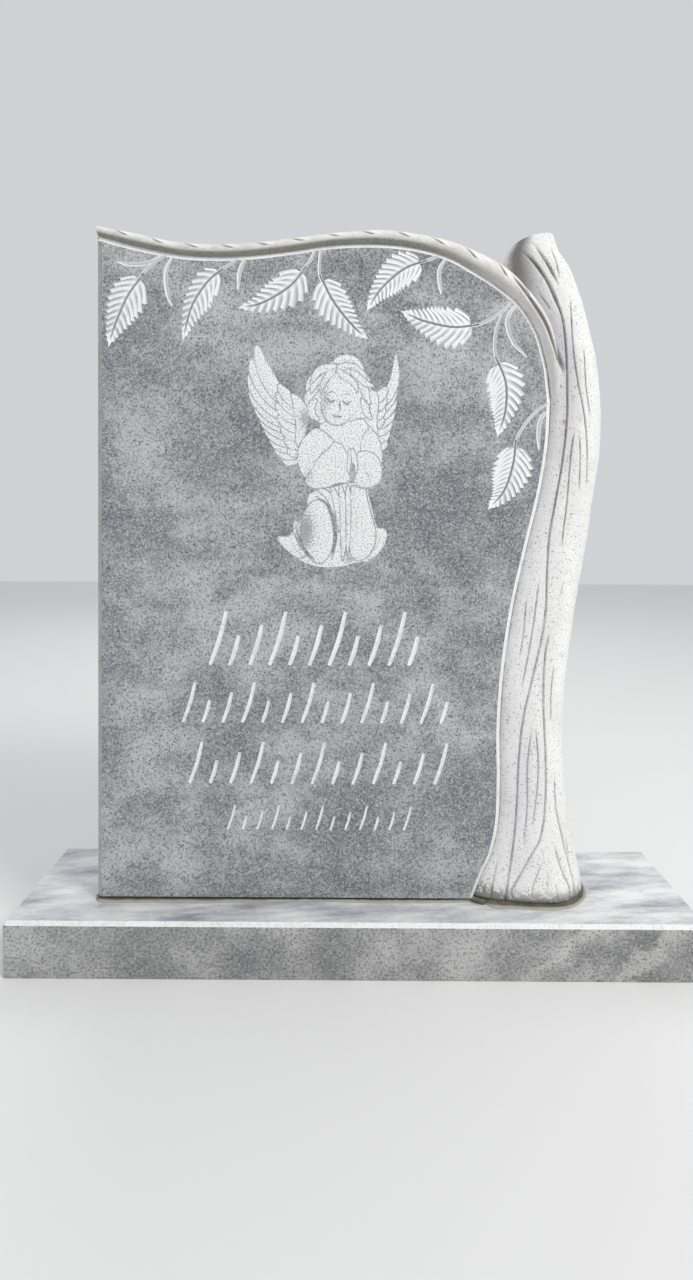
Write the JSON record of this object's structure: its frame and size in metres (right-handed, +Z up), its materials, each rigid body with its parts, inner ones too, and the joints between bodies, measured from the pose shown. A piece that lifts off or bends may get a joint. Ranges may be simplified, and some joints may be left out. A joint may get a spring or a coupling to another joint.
{
  "type": "marble monument",
  "caption": "Upright marble grave stele with a carved birch trunk, branch and leaves round a polished panel with a kneeling angel, on a low plinth slab",
  "frame": {"origin": "the middle of the plinth's underside", "axes": "+Z up, -Y towards the viewer of the carved face, +X to that viewer's right, where the trunk stands"},
  "size_m": [1, 0.22, 1.0836],
  "materials": {
    "stele_marble": "polished grey panel, rough white carving",
    "plinth_marble": "honed, veined",
    "mortar": "rough, sandy"
  },
  "bodies": {
    "root": {"stele": "stele_marble", "plinth": "plinth_marble", "mortar_bed": "mortar"}
  },
  "joints": []
}
